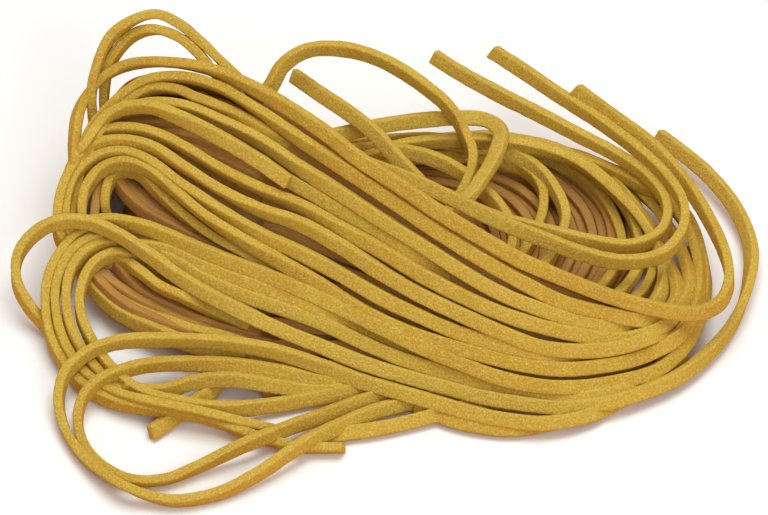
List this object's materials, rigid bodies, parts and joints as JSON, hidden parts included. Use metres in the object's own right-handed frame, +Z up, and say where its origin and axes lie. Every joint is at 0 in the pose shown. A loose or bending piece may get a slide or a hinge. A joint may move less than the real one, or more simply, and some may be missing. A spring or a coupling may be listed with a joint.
{
  "type": "dry pasta nest",
  "caption": "Loosely wound nest of dry, square-cut ribbon pasta: a high bundle across the front, open loops at its left end, a hollow at its right and cut ends sticking out.",
  "frame": {"origin": "middle of the nest's outer box, on the surface that it rests on", "axes": "+Z up; +X towards the end with the hollow, along the front bundle; +Y from the front bundle to the back"},
  "size_m": [0.124, 0.097, 0.0325],
  "materials": {
    "dry_pasta": "dry, floury egg pasta with a fine rough surface"
  },
  "bodies": {
    "root": {"pasta_nest": "dry_pasta"}
  },
  "joints": []
}
